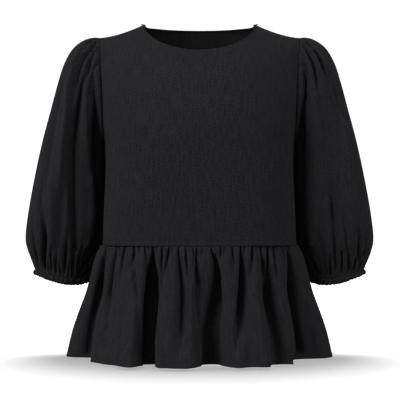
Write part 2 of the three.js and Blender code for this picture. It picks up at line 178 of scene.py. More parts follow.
# Gathers of the front waist seam. Each fold is a list of spots: x and y in the photograph's
# pixels, then how wide the fold is and how far it stands out, in millimetres.
WAIST_GATHERS = [
    [(104.2, 247.5, 1.2, -1.5), (103.2, 252, 1.5, -0.5)],
    [(107.8, 246, 1.3, -4), (106.5, 257.5, 2.4, -9), (101.9, 268.5, 5.5, -10), (98.5, 290, 7, -5)],
    [(117.5, 246, 1.2, -4), (116.9, 257.5, 2.2, -8), (113.6, 267.2, 4, -8), (109.5, 284, 5, -3)],
    [(120.4, 246.5, 1.3, -3), (120.2, 251, 1.5, -1)],
    [(126.3, 246, 1.2, -3.5), (124.6, 256, 2.2, -6.5), (122.5, 268.5, 3, -2)],
    [(128.3, 248, 1.1, -1.6), (128.3, 252, 1.3, -0.6)],
    [(135.1, 246, 1.3, -3.5), (135, 255, 2.2, -6), (133.6, 263, 4, -4), (136.6, 282, 4, -3),
     (137.4, 296, 5, -1)],
    [(139.8, 245.5, 1.3, -3.5), (140.4, 250.5, 1.6, -1.2)],
    [(145.6, 245.5, 1.2, -3), (146.2, 257, 2.5, -5), (147, 268, 4, -4)],
    [(148.9, 245, 1.3, -3), (149.3, 249.5, 1.5, -1)],
    [(153.1, 245, 1.4, -4.5), (153.3, 252, 2.4, -8), (152.6, 262, 5.5, -13), (153.2, 274, 9, -13),
     (153.5, 300, 11, -10)],
    [(156.9, 245, 1.2, -3), (157, 249, 1.4, -1)],
    [(162.4, 246, 1.2, -3.5), (162.4, 257.5, 2, -8), (161.4, 267.5, 2.5, -5), (161.5, 276, 2.5, -1)],
    [(165, 245.5, 1.1, -2), (165, 249, 1.3, -1)],
    [(169.9, 245.5, 1.2, -3.5), (168.6, 254, 2, -7), (166.6, 263.5, 3, -3)],
    [(172.7, 247, 1.4, -2.4), (172.6, 252, 2, -1)],
    [(179, 245.5, 1.3, -3.5), (179, 254, 2.2, -6), (180.6, 268.5, 5, -5), (183.6, 288, 7, -6),
     (184, 330, 10, -4)],
    [(185.5, 246, 1.2, -3), (186.2, 257.5, 2, -6.5), (187.1, 268, 2.5, -3)],
    [(189.6, 246.5, 1.2, -2.2), (189.6, 250.5, 1.3, -0.8)],
    [(192, 246, 1.2, -2.5), (193.6, 256, 2, -3.5), (194.2, 262, 2.5, -1)],
    [(196.2, 247.5, 1.2, -3.5), (196.3, 260.7, 2.2, -8), (197.6, 272.5, 3.5, -5), (199.2, 284, 5, -3)],
    [(202.3, 246.5, 1.3, -3), (201.9, 252, 1.8, -1.4)],
    [(206, 246.5, 1.2, -2), (206.3, 250, 1.4, -0.8)],
    [(211.3, 245.5, 1.2, -4), (211.9, 252.5, 2.2, -7), (214.9, 262, 4, -10),
     (216.9, 272, 6.5, -11), (216.5, 300, 9, -7)],
    [(214.8, 246.5, 1.2, -2.4), (215.3, 249.5, 1.3, -1)],
    [(220.7, 246.5, 1.5, -5), (220.4, 254, 2.2, -5), (220.2, 259, 2.5, -1)],
    [(224.3, 246.5, 1.4, -3), (224, 252, 1.8, -2)],
    [(231.8, 246, 1.4, -4.5), (232.1, 254, 2, -5), (233.2, 263.5, 3.5, -1.5)],
    [(236.8, 245.5, 1.1, -1.6), (236.8, 249, 1.4, -0.6)],
    [(240.3, 245.5, 1.3, -4.5), (240.6, 254, 2.4, -8), (242.2, 262.5, 4.5, -12),
     (243.2, 275, 6, -13), (243, 309, 7, -7)],
    [(243.9, 246.3, 1.4, -3.6), (243.9, 253.5, 2, -2)],
    [(247.3, 245.5, 1.1, -1.8), (247.3, 249, 1.4, -0.6)],
    [(251.5, 246, 1.2, -4), (251.7, 254, 2, -7), (251, 262, 2.5, -6), (250, 273, 3.5, -2)],
    [(255.6, 246, 1.2, -2), (255.7, 249, 1.4, -0.8)],
    [(259.2, 245.5, 1.3, -3), (259.9, 254, 2.5, -4), (262.3, 263, 4, -5), (263, 277, 5, -4),
     (264, 300, 6, -1)],
    [(266.3, 246, 1.2, -3.5), (267, 255.5, 2, -8), (267.6, 265, 2.6, -10),
     (268.9, 281.5, 4.5, -10), (270.4, 304, 6, -4)],
    [(268.7, 245.5, 1.1, -2), (268.8, 248.5, 1.2, -0.8)],
    [(271.9, 246, 1.2, -3), (272.8, 253, 1.8, -5), (273.8, 262, 2.2, -4), (276, 273, 3, -1.5)],
    [(274.9, 246.5, 1.2, -2.2), (275.3, 250.5, 1.4, -0.8)],
    [(280, 246.5, 1.3, -2.5), (281.3, 255.5, 2, -3.6), (282, 263, 3, -1.5)],
    [(284.5, 245.5, 1.2, -2.6), (284.6, 249.5, 1.4, -1)],
    [(287.1, 246.5, 1.4, -5), (286.9, 255, 2.6, -9), (289.1, 263, 5, -11), (290.4, 272, 6, -10),
     (292.8, 292, 8, -5)],
    [(288.9, 247.5, 1.1, -2), (289.2, 250.5, 1.3, -0.8)],
]
# Long soft hollows and ridges further down the front of the peplum
PEPLUM_FOLDS = [
    [(113, 268, 3, -6), (109, 290, 4.8, -12), (107, 315, 6, -6), (106, 345, 8, -3)],
    [(120, 290, 4, 1), (118.5, 325, 4.5, 4), (117, 364, 5, 5)],
    [(128, 300, 7, -2), (125, 345, 9, -3)],
    [(134, 275, 3, -4), (135, 290, 4, -6), (139, 325, 6, -5), (140, 350, 7, -4)],
    [(171, 275, 5, 1), (168, 320, 8, 2), (167, 362, 9, 2)],
    [(180, 266, 4, -6), (181, 290, 5.5, -12), (180.5, 325, 8, -11), (180, 352, 9, -4)],
    [(190, 285, 4, 2), (191, 340, 6, 4), (193, 366, 7, 4)],
    [(196.5, 270, 3.2, -6), (197.5, 290, 4, -8), (199, 312, 5, -6), (203, 340, 7, -3)],
    [(206, 275, 4, 2), (207, 292, 4, 2)],
    [(226, 285, 5, 2), (228, 345, 7, 3)],
    [(255, 285, 5, 2), (260, 330, 8, 3), (264, 362, 9, 4)],
    [(262.5, 262, 3, -5), (267.5, 288, 5, -13), (272.5, 322, 8, -14), (275, 350, 8.5, -9),
     (276, 366, 9, -6)],
    [(277, 285, 5, 2), (285, 325, 6, 4), (288, 355, 7, 3)],
    [(104, 300, 5, 3), (99, 330, 7, 3), (96, 356, 7, 3)],
    [(84, 320, 6, 2), (79, 350, 8, 2)],
    [(313, 320, 6, 2), (318, 350, 8, 2)],
]
# The deepest valleys of the front, most of which run down to the hem
DEEP_VALLEYS = [
    [(153.3, 254, 2, -4), (152.5, 268, 3.6, -9), (152, 284, 6.5, -18), (151, 325, 8.5, -28),
     (150, 366, 9, -24)],
    [(216.2, 256, 2.2, -6), (216, 275, 3.6, -13), (214.5, 300, 6, -15), (211, 330, 13, -14),
     (210, 364, 15, -13)],
    [(241.3, 258, 2, -6), (242.5, 275, 3, -11), (242, 298, 4, -12), (239, 325, 6.5, -12),
     (236, 350, 7, -6)],
    [(288, 258, 2.6, -8), (290.5, 285, 5.5, -18), (294.5, 322, 7.5, -18), (297.5, 350, 8.5, -16),
     (298, 362, 9, -14)],
    [(104.5, 258, 2.4, -6), (98.5, 287, 4.5, -12), (92.5, 322, 6, -9), (90, 350, 7, -6)],
]
# Folds and gathers of the two sleeves
LEFT_SLEEVE_FOLDS = [
    [(96.5, 42, 2, -3), (92, 48, 3, -7), (85.3, 57, 4, -3)],
    [(96.5, 50.3, 2, -3), (90.6, 60.6, 4, -8), (88.3, 69.8, 5, -8), (82.2, 85, 6, -10), (79.9, 95, 6, -12),
     (76.8, 118, 7, -12), (72.6, 148, 8, -11), (73.5, 175, 8, -11), (75, 215, 8, -12), (75.5, 250, 6, -8)],
    [(91, 178, 8, 4), (92.5, 215, 8, 6), (91, 243, 7, 3)],
    [(94.5, 76, 3, -3), (94.5, 95, 4, -8), (95.5, 115, 4.5, -13), (96.3, 137, 5, -16), (97, 160, 5, -11),
     (98, 182, 5, -3)],
    [(87, 76, 5, 2), (86, 95, 7, 5), (86, 135, 9, 6), (88, 175, 10, 6), (89, 215, 11, 6), (87, 245, 8, 4)],
    [(96.5, 62, 2, -2), (93, 74, 4, -5), (90, 90, 6, -5), (88, 112, 7, -2)],
    [(97, 37.5, 1.6, -2), (91, 41, 2.2, -4), (84, 46, 3, -2)],
    [(89, 40.5, 2.5, 3), (80, 50, 4, 5), (73, 66, 5, 6), (69.5, 88, 6, 8), (67, 112, 6, 10),
     (64.5, 138, 7, 10), (61, 165, 7, 7), (58, 190, 7, 3)],
    [(87, 52, 2.5, -3), (81, 64, 4, -7), (76.5, 80, 5, -7), (73, 98, 6, -4), (70, 115, 7, -1)],
    [(61, 84, 6, -3), (55, 108, 7, -7), (51.5, 134, 8, -7), (48, 165, 8, -5), (45, 190, 7, -2)],
    [(55, 165, 7, 4), (52, 192, 8, 6), (51, 222, 8, 5), (51, 245, 6, 3)],
    [(43, 178, 4, -1), (40.5, 203, 5, -4), (44, 226, 5.5, -9), (44.5, 238, 5, -11), (43.6, 250, 4, -11),
     (44.2, 270, 2.2, -6)],
    [(64, 190, 6, -1), (61, 212, 7, -4), (60, 234, 7, -3), (60, 246, 5, -1)],
    [(33, 220, 3.5, -1), (33, 238, 4, -4), (35, 255, 3.4, -6), (38, 269, 2.2, -5)],
    [(51.5, 246, 2.4, -1), (50.5, 258, 2.6, -4), (51, 272, 2, -4)],
    [(57.5, 250, 2.4, -1), (56, 262, 2.6, -4), (55.6, 273, 2, -4)],
    [(69, 228, 3, -1), (66.5, 244, 3.4, -5), (65.4, 256, 3.2, -9), (64.8, 273, 2.2, -6)],
    [(77, 242, 3, -1), (73.5, 255, 3, -6), (73.2, 266, 2.8, -8), (73.7, 277, 2, -5)],
    [(83, 246, 3, -1), (79.5, 258, 3, -5), (78, 275, 2, -4)],
    [(97, 247, 3, -2), (93, 257, 4, -8), (86, 266, 3.6, -9), (79, 276, 2.4, -5)],
    [(97, 262, 3, -3), (90.5, 271, 3, -7), (82, 279, 2, -5)],
]
RIGHT_SLEEVE_FOLDS = [
    [(302.3, 44, 1.8, -5), (308.6, 53, 3, -11), (314, 64, 4, -10), (317, 79, 5, -7), (319, 102, 6, -1)],
    [(302.3, 56, 1.8, -4), (305, 68, 3, -9), (307.5, 80, 4, -9), (309, 95, 5, -6), (311, 116, 7, -1)],
    [(301.5, 64, 2, -3), (304.5, 78, 3, -9), (305, 95, 3.8, -14), (303, 115, 4.5, -16),
     (301.5, 138, 5, -17), (300.5, 162, 5, -12), (299, 182, 5, -4)],
    [(302, 38, 1.4, -4), (308, 42.5, 2, -8), (316, 51, 3, -9), (323, 66, 4, -6), (328, 86, 5, -1)],
    [(311, 47, 2.4, 3), (317, 58, 3, 5), (321, 72, 4, 4), (325, 92, 5, 2)],
    [(331, 74, 5, -3), (336, 96, 6, -4), (340, 118, 7, -2)],
    [(323, 100, 7, -1), (328, 130, 10, -3), (331, 170, 11, -5), (332.5, 205, 9, -8),
     (334.5, 240, 6.5, -8), (336, 262, 3, -6), (335.7, 271, 2, -4)],
    [(309, 178, 8, 3), (307.5, 215, 8, 5), (309, 243, 7, 3)],
    [(315, 96, 7, 4), (317, 135, 9, 6), (316, 175, 10, 7), (314, 215, 10, 7), (312.5, 245, 8, 5)],
    [(331.9, 205, 3, -2), (334, 219, 3.5, -3)],
    [(344, 120, 6, 4), (347, 150, 8, 6), (350, 190, 8, 7), (351, 222, 8, 6), (351, 245, 6, 3)],
    [(345, 215, 6, -3), (347.7, 246, 5, -5), (348.8, 269, 2.2, -5)],
    [(320, 236, 4, -2), (323.3, 250, 3.5, -5), (327, 274, 2, -5)],
    [(358, 232, 4, -3), (358.7, 253, 3.5, -5), (360, 268, 2, -4)],
    [(356.5, 258, 2.4, -3), (354, 270, 2, -4)],
    [(366, 240, 3, -2), (364.6, 256, 3, -4), (363.4, 268, 2, -4)],
    [(309, 257, 4, -4), (316, 270, 3.5, -5), (323, 279, 2, -3)],
    [(308, 272, 3, -4), (315, 279, 2, -3)],
    [(341.8, 254, 3, -4), (342.5, 273, 2, -4)],
    [(330.2, 258, 2.6, -4), (331, 275, 2, -4)],
]

CLOTH = 0.8  # thickness of the thin shells
TURNED = 1.7  # and of a turned hem or neck edge
CASING = 1.3  # and of the cuffs
HEM_TURN = 8.6  # depth of the turned hem
TURN_SHARP = 0.8  # how abruptly a turned edge ends
SEAM_STEPS = np.array([0.5, 1, 1.8, 3, 5])  # rows of points near a seam, from it
TURN_IN = (0.5, 1.4, 3.2, 6.5)  # seam allowance behind an edge, in steps
FLOOR_Z = -0.5968  # metres, as are the studio's other sizes
MM = 0.001


def mix(a, b, share):
    """The value at this share of the way from a to b."""
    return a + (b - a) * share


def bell(offset, width, power=2.0):
    """1 at no offset, falling to nothing past the width."""
    return np.exp(-np.abs(offset / width) ** power)


def read(rows, key, place, column):
    """A column of a table at any place along it, on a smooth curve through the rows."""
    keys, values = rows[key], rows[column]
    b = np.clip(np.searchsorted(keys, place, side="left"), 1, len(keys) - 1)
    a = b - 1
    before, after = np.maximum(a - 1, 0), np.minimum(b + 1, len(keys) - 1)
    span = keys[b] - keys[a]
    slope_a = (values[b] - values[before]) / (keys[b] - keys[before]) * span
    slope_b = (values[after] - values[a]) / (keys[after] - keys[a]) * span
    t = np.clip((place - keys[a]) / span, 0, 1)
    return (
        values[a] * (1 + 2 * t) * (1 - t) ** 2
        + slope_a * t * (1 - t) ** 2
        + values[b] * t**2 * (3 - 2 * t)
        - slope_b * t**2 * (1 - t)
    )


def ridge_z(x):
    """Height of the shoulder line above x, carried on smoothly across the neck."""
    away = np.abs(x)
    share = np.clip((away - NECK_HALF_WIDTH) / (SHOULDER_TIP_X - NECK_HALF_WIDTH), 0, 1)
    over_neck = RIDGE_RISE * (1 - (away / NECK_HALF_WIDTH) ** 2)
    return np.where(away < NECK_HALF_WIDTH, over_neck, -SHOULDER_DROP * (1 - (1 - share) ** 1.6))


def torso_y(side, x, z):
    """Y of the bodice's front or back above a point of the front view."""
    section = np.minimum(z, UNDERARM_Z)
    rise = np.clip((z - UNDERARM_Z) / (ridge_z(x) - UNDERARM_Z), 0, 1)
    half = mix(read(BODICE, "z", section, "half"), UPPER_HALF_WIDTH, 1 - (1 - rise) ** 2)
    arch = np.where(side < 0, CHEST_ARCH, BACK_ARCH)
    depth = np.where(
        side < 0, read(BODICE, "z", section, "front"), read(BODICE, "z", section, "back")
    )
    across = np.maximum(0, 1 - np.minimum(1, np.abs(x) / half) ** SIDE_SQUARE)
    upward = np.maximum(0, 1 - rise**arch)
    return side * depth * across ** (1 / SIDE_SQUARE) * upward ** (1 / arch) + SHOULDER_Y * rise**2


def armhole_x(z):
    """X of the armhole seam in the front view, at this height."""
    rise = np.clip((z - UNDERARM_Z) / (-SHOULDER_DROP - UNDERARM_Z), 0, 1)
    return mix(UNDERARM_X, SHOULDER_TIP_X, rise**1.2) - ARM_HOLLOW * np.sin(np.pi * rise)


def armhole(at):
    """The armhole seam of the side +X: 0 is the shoulder tip, 0.25 the front, 0.5 the underarm."""
    z = mix(UNDERARM_Z, -SHOULDER_DROP, (1 + np.cos(2 * np.pi * at)) / 2)
    side = np.where(np.sin(2 * np.pi * at) > 0, -1, 1)
    return np.stack([armhole_x(z), torso_y(side, armhole_x(z), z), z], -1)


def top_edge(side, at):
    """The top edge of a panel in the front view, from shoulder tip to shoulder tip."""
    away = np.abs(at)
    x = mix(NECK_HALF_WIDTH, SHOULDER_TIP_X, (away - NECK_SHARE) / (1 - NECK_SHARE))
    turn = at / NECK_SHARE * np.pi / 2
    drop = FRONT_NECK_DROP if side == FRONT else BACK_NECK_DROP
    on_shoulder = away > NECK_SHARE
    return (
        np.where(on_shoulder, np.sign(at) * x, NECK_HALF_WIDTH * np.sin(turn)),
        np.where(on_shoulder, ridge_z(x), -drop * np.cos(turn)),
    )


def bodice_point(side, at, row):
    """A point of a bodice panel.

    At is -1 at the left side and 1 at the right, row is -1 at the waist, 0 at the underarm and 1
    at the top edge.
    """
    away = np.abs(at)
    across = np.sign(at) * np.sin(np.pi / 2 * away) ** (2 / SIDE_SQUARE)
    z = mix(WAIST_Z, UNDERARM_Z, 1 + np.minimum(row, 0))
    x = read(BODICE, "z", z, "half") * across
    rise = (1 - np.cos(np.pi * np.maximum(row, 0))) / 2
    top_x, top_z = top_edge(side, at)
    bend = armhole_x(mix(UNDERARM_Z, -SHOULDER_DROP, rise)) - mix(UNDERARM_X, SHOULDER_TIP_X, rise)
    z = np.where(row > 0, mix(UNDERARM_Z, top_z, rise), z)
    x = np.where(row > 0, mix(x, top_x, rise) + np.sign(at) * bend * away**4, x)
    return np.stack([x, torso_y(side, x, z) + side * SIDE_GAP, z], -1)


def arm_ring(rows, at, row):
    """A point round the sleeve or cuff on the side +X."""
    turn = 2 * np.pi * at
    outer = (1 + np.cos(turn)) / 2
    behind = read(rows, "at", row, "behind") + read(rows, "at", row, "tuck") * (1 - outer) ** 3
    forward = np.sign(np.sin(turn)) * np.abs(np.sin(turn)) ** (2 / ARM_SQUARE)
    return np.stack(
        [
            mix(read(rows, "at", row, "inX"), read(rows, "at", row, "outX"), outer),
            behind - read(rows, "at", row, "depth") * forward,
            mix(read(rows, "at", row, "inZ"), read(rows, "at", row, "outZ"), outer),
        ],
        -1,
    )


def hung(at, share):
    """How far the sleeve's end hangs below the level of its two sides, most of all in front."""
    swing = np.sin(2 * np.pi * (at - 0.05))
    return -FRONT_HANG * share * swing * (0.75 * swing + 0.25 * np.abs(swing))


def sleeve_point(at, row):
    """The sleeve's smooth form: its sections, led out of the armhole seam."""
    hold = np.maximum(0, 1 - row / SEAM_SHARE) ** 2
    seam = armhole(at) - arm_ring(SLEEVE, at, np.zeros_like(row))
    point = arm_ring(SLEEVE, at, row) + seam * hold[..., None]
    point[..., 0] += HALF_GAP
    point[..., 2] += hung(at, row**6)
    return point


def fold_out(folds, at, row):
    """How far the large folds carry the peplum out at the hem."""
    place = [mix(waist, hem, row) for waist, hem in zip(folds["waist"], folds["hem"])]
    out = np.zeros_like(at)
    for i in range(1, len(place)):
        share = np.clip((at - place[i - 1]) / (place[i] - place[i - 1]), 0, 1)
        step = mix(folds["out"][i - 1], folds["out"][i], (1 - np.cos(np.pi * share)) / 2)
        out = np.where(at > place[i - 1], step, out)
    return out


def peplum_point(side, folds, at, row):
    """A point of the peplum: at runs from side seam to side seam, row from waist to hem."""
    half = read(PEPLUM, "at", row, "half")
    depth = read(PEPLUM, "at", row, "front" if side == FRONT else "back")
    turn = np.pi / 2 * at
    away = np.stack([np.sin(turn) / half, side * np.cos(turn) / depth], -1)
    away /= np.linalg.norm(away, axis=-1, keepdims=True)
    base = np.stack([half * np.sin(turn), side * depth * np.cos(turn)], -1)
    base += away * (fold_out(folds, at, row) * row**0.85)[..., None]
    z = mix(WAIST_Z - HALF_GAP, HEM_Z, row)
    return np.concatenate([base + [0, side * SIDE_GAP], z[..., None]], -1)


def grid(form, places, rows):
    """Points of a form at every place of every row."""
    row, at = np.meshgrid(rows, places, indexing="ij")
    return form(at, row)


def outward(points, is_ring):
    """Unit normals of a grid of points, pointing away from the hollow inside."""
    down = np.gradient(points, axis=0)
    if is_ring:
        along = np.roll(points, -1, 1) - np.roll(points, 1, 1)
        middle = points.mean(axis=1, keepdims=True)
    else:
        along = np.gradient(points, axis=1)
        middle = points * [0, 0, 1]
    normal = np.cross(along, down)
    normal /= np.maximum(np.linalg.norm(normal, axis=-1, keepdims=True), 1e-9)
    return normal if np.sum(normal * (points - middle)) > 0 else -normal


def run(points, axis, backwards=False):
    """Distance along the cloth from the first row or column of a grid, or from the last."""
    if backwards:
        points = np.flip(points, axis)
    step = np.linalg.norm(np.diff(points, axis=axis), axis=-1)
    zero = np.zeros_like(np.take(step, [0], axis=axis))
    total = np.concatenate([zero, np.cumsum(step, axis=axis)], axis=axis)
    return np.flip(total, axis) if backwards else total


def spot_on(points, mirror, x, y):
    """The point of a grid's front side that shows at this pixel of the photograph."""
    scale = VIEW_DISTANCE / (VIEW_DISTANCE + points[..., 1])
    seen_x = mirror * points[..., 0] * scale
    seen_z = (points[..., 2] - VIEW_HEIGHT) * scale + VIEW_HEIGHT
    wanted_x = (x - MIDDLE_X) * PIXEL
    wanted_z = (SHOULDER_PIXEL - y) * PIXEL
    away = (seen_x - wanted_x) ** 2 + (seen_z - wanted_z) ** 2
    away = away + np.where(behind_middle(points) < 0.05, 0, HIDDEN)
    return points.reshape(-1, 3)[np.argmin(away)]


def behind_middle(points):
    """How far each point of a ring lies behind the middle of its row. A front panel has none."""
    y = points[..., 1]
    if np.all(y < 1):
        return y * 0
    return y - (y.min(axis=1, keepdims=True) + y.max(axis=1, keepdims=True)) / 2


def crease(points, path, power=1.7):
    """Relief of one fold along a path of (point, width, depth)."""
    best = np.zeros(points.shape[:2])
    for (a, wide_a, deep_a), (b, wide_b, deep_b) in zip(path, path[1:]):
        way = b - a
        share = np.clip(((points - a) @ way) / max(way @ way, 1e-6), 0, 1)
        away = np.linalg.norm(points - (a + share[..., None] * way), axis=-1)
        lift = mix(deep_a, deep_b, share) * bell(away, mix(wide_a, wide_b, share), power)
        best = np.where(np.abs(lift) > np.abs(best), lift, best)
    return best


def photo_folds(points, mirror, folds, power=1.7):
    """Relief of the folds that are placed in the photograph."""
    lift = np.zeros(points.shape[:2])
    for fold in folds:
        path = [(spot_on(points, mirror, x, y), wide, deep) for x, y, wide, deep in fold]
        lift += crease(points, path, power)
    return lift


def trailing(fold):
    """A gather that runs on down the cloth from its last spot, wider and shallower."""
    (x_before, y_before, _, _), (x, y, wide, deep) = fold[-2:]
    deepest = min(spot[3] for spot in fold)
    length = 3 - 2.2 * deepest
    lean = (x - x_before) / max(y - y_before, 1)
    end = (x + lean * length, y + length, wide + 1.2, 0.12 * deepest)
    return [*fold[:-1], (x, y, wide, mix(deep, deepest, 0.45)), end]


def turned_in(points, normal, depth, axis, at_end):
    """The grid with its seam allowance added behind one edge."""
    index = -1 if at_end else 0
    edge = np.take(points, [index], axis=axis)
    edge_normal = np.take(normal, [index], axis=axis)
    extra = [edge - edge_normal * (step * depth) for step in TURN_IN]
    copies = [edge_normal] * len(TURN_IN)
    if at_end:
        return (np.concatenate([points, *extra], axis), np.concatenate([normal, *copies], axis))
    return (
        np.concatenate([*extra[::-1], points], axis),
        np.concatenate([*copies, normal], axis),
    )


def shell(name, points, thickness, is_ring, material):
    """A closed thin shell on a grid of points, with the cloth's own lengths as its UV map."""
    normal = outward(points, is_ring)
    inner = points - normal * thickness[..., None]
    rows, columns = points.shape[:2]
    count = rows * columns
    number = np.arange(count).reshape(rows, columns)
    if is_ring:
        number = np.concatenate([number, number[:, :1]], 1)

    def quads(a, b, c, d):
        return np.stack([a.ravel(), b.ravel(), c.ravel(), d.ravel()], -1)

    outer_faces = quads(number[:-1, :-1], number[:-1, 1:], number[1:, 1:], number[1:, :-1])
    faces = [outer_faces, outer_faces[:, ::-1] + count]
    edges = [(number[0], False), (number[-1], True)]
    if not is_ring:
        edges += [(number[:, 0], True), (number[:, -1], False)]
    for line, is_flipped in edges:
        band = quads(line[:-1], line[:-1] + count, line[1:] + count, line[1:])
        faces.append(band[:, ::-1] if is_flipped else band)
    faces = np.concatenate(faces)
    vertices = np.concatenate([points.reshape(-1, 3), inner.reshape(-1, 3)]) * MM
    corner = vertices[faces]
    volume = np.einsum("ij,ij->i", corner[:, 0], np.cross(corner[:, 1], corner[:, 2])).sum()
    if volume < 0:
        faces = faces[:, ::-1]
    mesh = bpy.data.meshes.new(name)
    mesh.vertices.add(len(vertices))
    mesh.vertices.foreach_set("co", vertices.ravel())
    mesh.loops.add(faces.size)
    mesh.loops.foreach_set("vertex_index", faces.ravel())
    mesh.polygons.add(len(faces))
    mesh.polygons.foreach_set("loop_start", np.arange(0, faces.size, 4))
    mesh.update(calc_edges=True)
    mesh.validate()
    middle = rows // 2
    across = np.broadcast_to(run(points[middle : middle + 1], 1), (rows, columns)) * MM
    down = run(points, 0) * MM
    place = np.stack([across, down], -1).reshape(-1, 2)
    place = np.concatenate([place, place])
    layer = mesh.uv_layers.new(name="cloth")
    layer.data.foreach_set("uv", place[faces.ravel()].astype(np.float32).ravel())
    mesh.shade_smooth()
    mesh.materials.append(material)
    piece = bpy.data.objects.new(name, mesh)
    bpy.context.collection.objects.link(piece)
    return piece


def dense(low, high, count, near_low, near_high):
    """Even places from low to high, less those that lie too near one of the finer ones at the ends."""
    fine = np.unique(np.concatenate([[low, high], low + near_low, high - near_high]))
    even = np.linspace(low, high, count)
    apart = 0.5 * (even[1] - even[0])
    clear = np.abs(even[:, None] - fine[None]).min(axis=1) > apart
    return np.unique(np.concatenate([fine, even[clear]]))


def seam_dip(away, deep=0.7, wide=1.3):
    """How the cloth rounds down into a seam."""
    return -deep * np.exp(-away / wide)


# Pieces


def waist_relief(at, from_waist):
    """The pressed seam line, the raised allowance and the small puckers above the waist seam."""
    pressed = 0.35 * bell(from_waist - 9, 1.1) + 0.25 * np.exp(-from_waist / 5)
    pucker = np.sin(61 * at + 2 * np.sin(7 * at)) + 0.6 * np.sin(97 * at + 1)
    puckered = 0.3 * pucker * np.exp(-from_waist / 7) * (1 - np.exp(-from_waist / 1.5))
    return seam_dip(from_waist, 0.2, 0.5) - pressed + puckered + 0.6 * bell(from_waist - 4, 3)


def neck_relief(from_top):
    """The rolled neck edge and the line that it is stitched along."""
    return 0.35 * bell(from_top - 2.6, 2.2) - 0.3 * bell(from_top - 6.2, 0.9)


def armhole_relief(from_side):
    """The seam allowance under the cloth, and the hollow beside it."""
    return 0.25 * bell(from_side - 2.6, 1.6) - 0.3 * bell(from_side - 5, 1.2)


def bodice_panel(name, side, material):
    """The front or back of the bodice, with its allowances turned in all round."""
    length = UNDERARM_Z - WAIST_Z
    near_waist = np.concatenate([SEAM_STEPS, [7, 8, 9, 10, 11, 13]]) / length
    near_top = np.concatenate([SEAM_STEPS / length / 8, np.linspace(0.01, 0.16, 18)])
    near_side = np.array([0.002, 0.005, 0.01])
    row_count, column_count = (118, 150) if side == FRONT else (80, 110)
    rows = dense(-1, 1, row_count, near_waist, near_top)
    places = dense(-1, 1, column_count, near_side, near_side)
    points = grid(lambda at, row: bodice_point(side, at, row), places, rows)
    normal = outward(points, False)
    row, at = np.meshgrid(rows, places, indexing="ij")
    from_waist, from_top = run(points, 0), run(points, 0, True)
    from_side = np.minimum(run(points, 1), run(points, 1, True))
    at_neck = np.clip((NECK_SHARE - np.abs(at)) / 0.02, 0, 1)
    beside_armhole = np.clip(row * 4, 0, 1)
    lift = seam_dip(from_side, 0.3, 0.6) + seam_dip(from_top) * (1 - 0.3 * at_neck)
    lift += waist_relief(at, from_waist)
    lift += at_neck * neck_relief(from_top) + beside_armhole * armhole_relief(from_side)
    points = points + normal * lift[..., None]
    if side == BACK:
        from_neck_point = np.abs(points[..., 0]) - NECK_HALF_WIDTH
        points[..., 2] -= 1.8 * bell(from_neck_point, 12) * np.exp(-from_top / 6)
    turned = at_neck * np.clip((NECK_BAND[side] - from_top) / TURN_SHARP, 0, 1)
    thickness = mix(CLOTH, TURNED, turned)
    normal = outward(points, False)
    shoulder_depth = (1 - at_neck[-1:, :, None]) * 0.98 + 0.02
    size = len(TURN_IN)
    points, normal = turned_in(points, normal, 1, 0, False)
    points, normal = turned_in(points, normal, shoulder_depth, 0, True)
    points, normal = turned_in(points, normal, 1, 1, False)
    points, normal = turned_in(points, normal, 1, 1, True)
    thickness = np.pad(thickness, ((size, size), (size, size)), mode="edge")
    return shell(name, points, thickness, False, material)


def on_sleeve(turn, along):
    """One point of the sleeve's smooth form."""
    return sleeve_point(np.array(turn), np.array(along))


def head_gathers(points, chance, count=30):
    """Short gathers that run down from the sleeve's head."""
    lift = 0
    for i in range(count):
        turn = HEAD_SHARE * ((i + chance.uniform(0.2, 0.8)) / count - 0.5)
        reach = chance.uniform(0.04, 0.13)
        deep = -chance.uniform(0.8, 2.2)
        start, end = on_sleeve(turn, 0.0), on_sleeve(turn * 1.1, reach)
        half_way = on_sleeve(turn * 1.05, reach * 0.4)
        path = [(start, 1.2, deep * 0.6), (half_way, 2, deep), (end, 3, deep * 0.2)]
        lift = lift + crease(points, path)
    return lift


def cuff_gathers(points, chance, count=46):
    """Short gathers that run up from the cuff."""
    lift = 0
    for i in range(count):
        turn = (i + chance.uniform(0.15, 0.85)) / count
        reach = chance.uniform(0.035, 0.12)
        deep = -chance.uniform(1.8, 4.6)
        start = on_sleeve(turn, 1.0)
        end = on_sleeve(turn + chance.uniform(-0.01, 0.01), 1 - reach)
        half_way = on_sleeve(turn, 1 - reach * 0.4)
        path = [(start, 1.5, deep * 0.7), (half_way, 2.6, deep), (end, 4, deep * 0.15)]
        lift = lift + crease(points, path)
    return lift


def back_folds(points, chance, count=9):
    """Long folds on the back of a sleeve, of the same kind as those in front."""
    lift = 0
    for i in range(count):
        turn = 0.56 + 0.4 * (i + chance.uniform(0.2, 0.8)) / count
        low, high = chance.uniform(0.0, 0.12), chance.uniform(0.35, 0.6)
        if i % 3 == 2:
            low, high = 0.5 + low, 1.0
        deep = -chance.uniform(3, 7)
        path = []
        for share in np.linspace(0, 1, 5):
            spot = on_sleeve(turn + 0.03 * share, mix(low, high, share))
            fade = np.sin(np.pi * (0.15 + 0.8 * share))
            path.append((spot, 5 + 5 * share, deep * fade))
        lift = lift + crease(points, path)
    return lift


